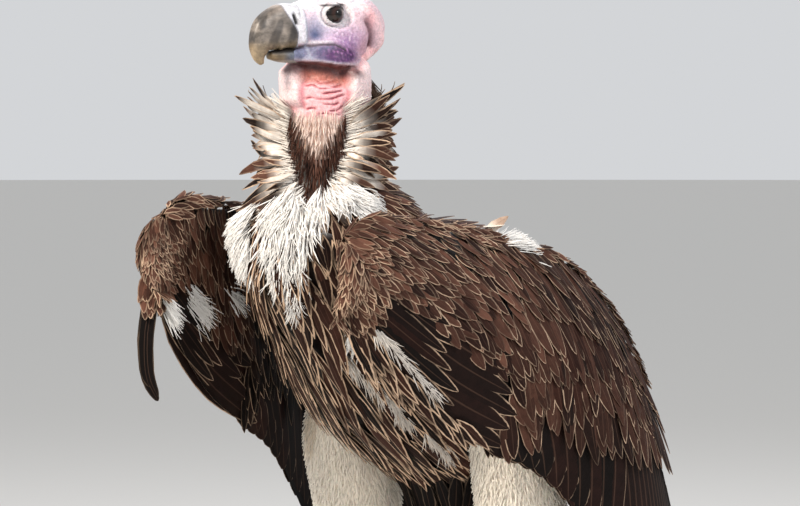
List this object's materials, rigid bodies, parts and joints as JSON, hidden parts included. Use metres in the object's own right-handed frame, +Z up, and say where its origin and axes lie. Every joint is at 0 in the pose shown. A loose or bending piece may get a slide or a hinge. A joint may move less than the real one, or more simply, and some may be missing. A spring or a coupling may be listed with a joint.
{
  "type": "lappet-faced vulture",
  "caption": "Life-size adult lappet-faced vulture, standing upright with both wings half lowered like a cloak and its head turned.",
  "frame": {"origin": "on the floor, under the middle of the bird's bounding box", "axes": "+Z up, the bird faces -Y, its left side is at +X"},
  "size_m": [0.4304, 0.6114, 0.9084],
  "materials": {
    "face_skin": "bare wrinkled skin, satin",
    "leg_skin": "scaled skin, satin",
    "bill_horn": "worn horn, satin",
    "claw_horn": "dark horn, satin",
    "eye": "wet and glossy",
    "plumage": "matt feathers",
    "quills": "flight feathers, faint sheen",
    "down": "soft down, matt"
  },
  "bodies": {
    "root": {"head": "face_skin", "neck": "face_skin", "eye_left": "eye", "eye_right": "eye", "bill_upper": "bill_horn", "bill_lower": "bill_horn", "ruff": "plumage", "collar": "down", "trunk": "plumage", "tail": "quills", "wing_left_shoulder": "plumage", "wing_left_forearm": "plumage", "wing_left_elbow": "plumage", "wing_left_secondaries": "quills", "wing_left_primaries": "quills", "wing_right_shoulder": "plumage", "wing_right_forearm": "plumage", "wing_right_elbow": "plumage", "wing_right_secondaries": "quills", "wing_right_primaries": "quills", "wing_right_alula": "quills", "thigh_left": "down", "tarsus_left": "leg_skin", "foot_left": "leg_skin", "toe_left_middle": "leg_skin", "claw_left_middle": "claw_horn", "toe_left_inner": "leg_skin", "claw_left_inner": "claw_horn", "toe_left_outer": "leg_skin", "claw_left_outer": "claw_horn", "toe_left_hind": "leg_skin", "claw_left_hind": "claw_horn", "thigh_right": "down", "tarsus_right": "leg_skin", "foot_right": "leg_skin", "toe_right_middle": "leg_skin", "claw_right_middle": "claw_horn", "toe_right_inner": "leg_skin", "claw_right_inner": "claw_horn", "toe_right_outer": "leg_skin", "claw_right_outer": "claw_horn", "toe_right_hind": "leg_skin", "claw_right_hind": "claw_horn"}
  },
  "joints": []
}
